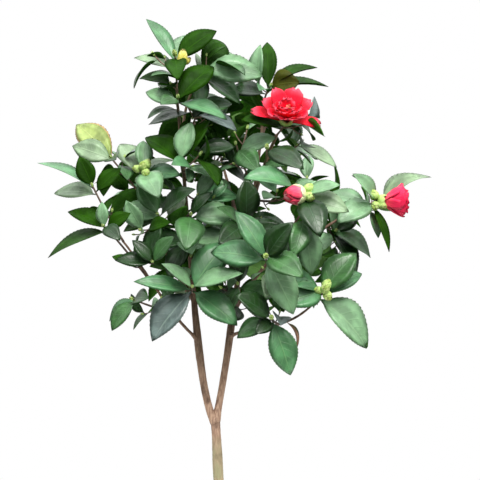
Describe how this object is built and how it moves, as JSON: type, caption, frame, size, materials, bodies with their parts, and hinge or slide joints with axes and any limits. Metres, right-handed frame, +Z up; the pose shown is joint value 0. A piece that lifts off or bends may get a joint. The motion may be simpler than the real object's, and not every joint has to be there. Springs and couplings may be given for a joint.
{
  "type": "camellia shrub",
  "caption": "Young flowering shrub: a short trunk forking low into thin stems, and a loose crown of glossy oval leaves with red flowers and green buds.",
  "frame": {"origin": "centre of the trunk's flat cut at ground level", "axes": "+Z up from the ground, -Y towards the front of the shrub, +X to the right from the front"},
  "size_m": [0.5717, 0.4024, 0.7872],
  "materials": {
    "bark": "matt, finely ridged",
    "foliage": "glossy leaf"
  },
  "bodies": {
    "root": {"trunk": "bark", "left_stem": "bark", "right_stem": "bark", "left_low_bough": "bark", "left_mid_bough": "bark", "right_low_bough": "bark", "right_up_bough": "bark", "far_right_bough": "bark", "top_right_bough": "bark", "top_centre_bough": "bark", "back_left_bough": "bark", "back_right_bough": "bark", "back_mid_bough": "bark", "top_left_crown": "foliage", "upper_left_front": "foliage", "left_leader": "foliage", "top_centre_crown": "foliage", "upper_centre": "foliage", "top_right_crown": "foliage", "bloom_spray": "foliage", "right_shoulder": "foliage", "left_tip": "foliage", "left_low_leaves": "foliage", "yellow_leaf_spray": "foliage", "left_bud_spray": "foliage", "left_hang": "foliage", "left_low_tip": "foliage", "left_front": "foliage", "left_inner": "foliage", "left_arch": "foliage", "centre_left": "foliage", "centre_fan": "foliage", "centre_high": "foliage", "right_leader": "foliage", "right_pale": "foliage", "opening_bud_spray": "foliage", "far_right_spray": "foliage", "right_dark": "foliage", "right_hang": "foliage", "right_bud_spray": "foliage", "front_whorl": "foliage", "low_whorl": "foliage", "centre_low": "foliage", "centre_mid": "foliage", "back_left": "foliage", "back_left_low": "foliage", "back_right": "foliage", "back_right_low": "foliage", "back_mid": "foliage", "back_mid_low": "foliage", "back_top_left": "foliage", "back_top_right": "foliage", "inner_high": "foliage", "inner_low": "foliage", "far_right_tip": "foliage"}
  },
  "joints": []
}
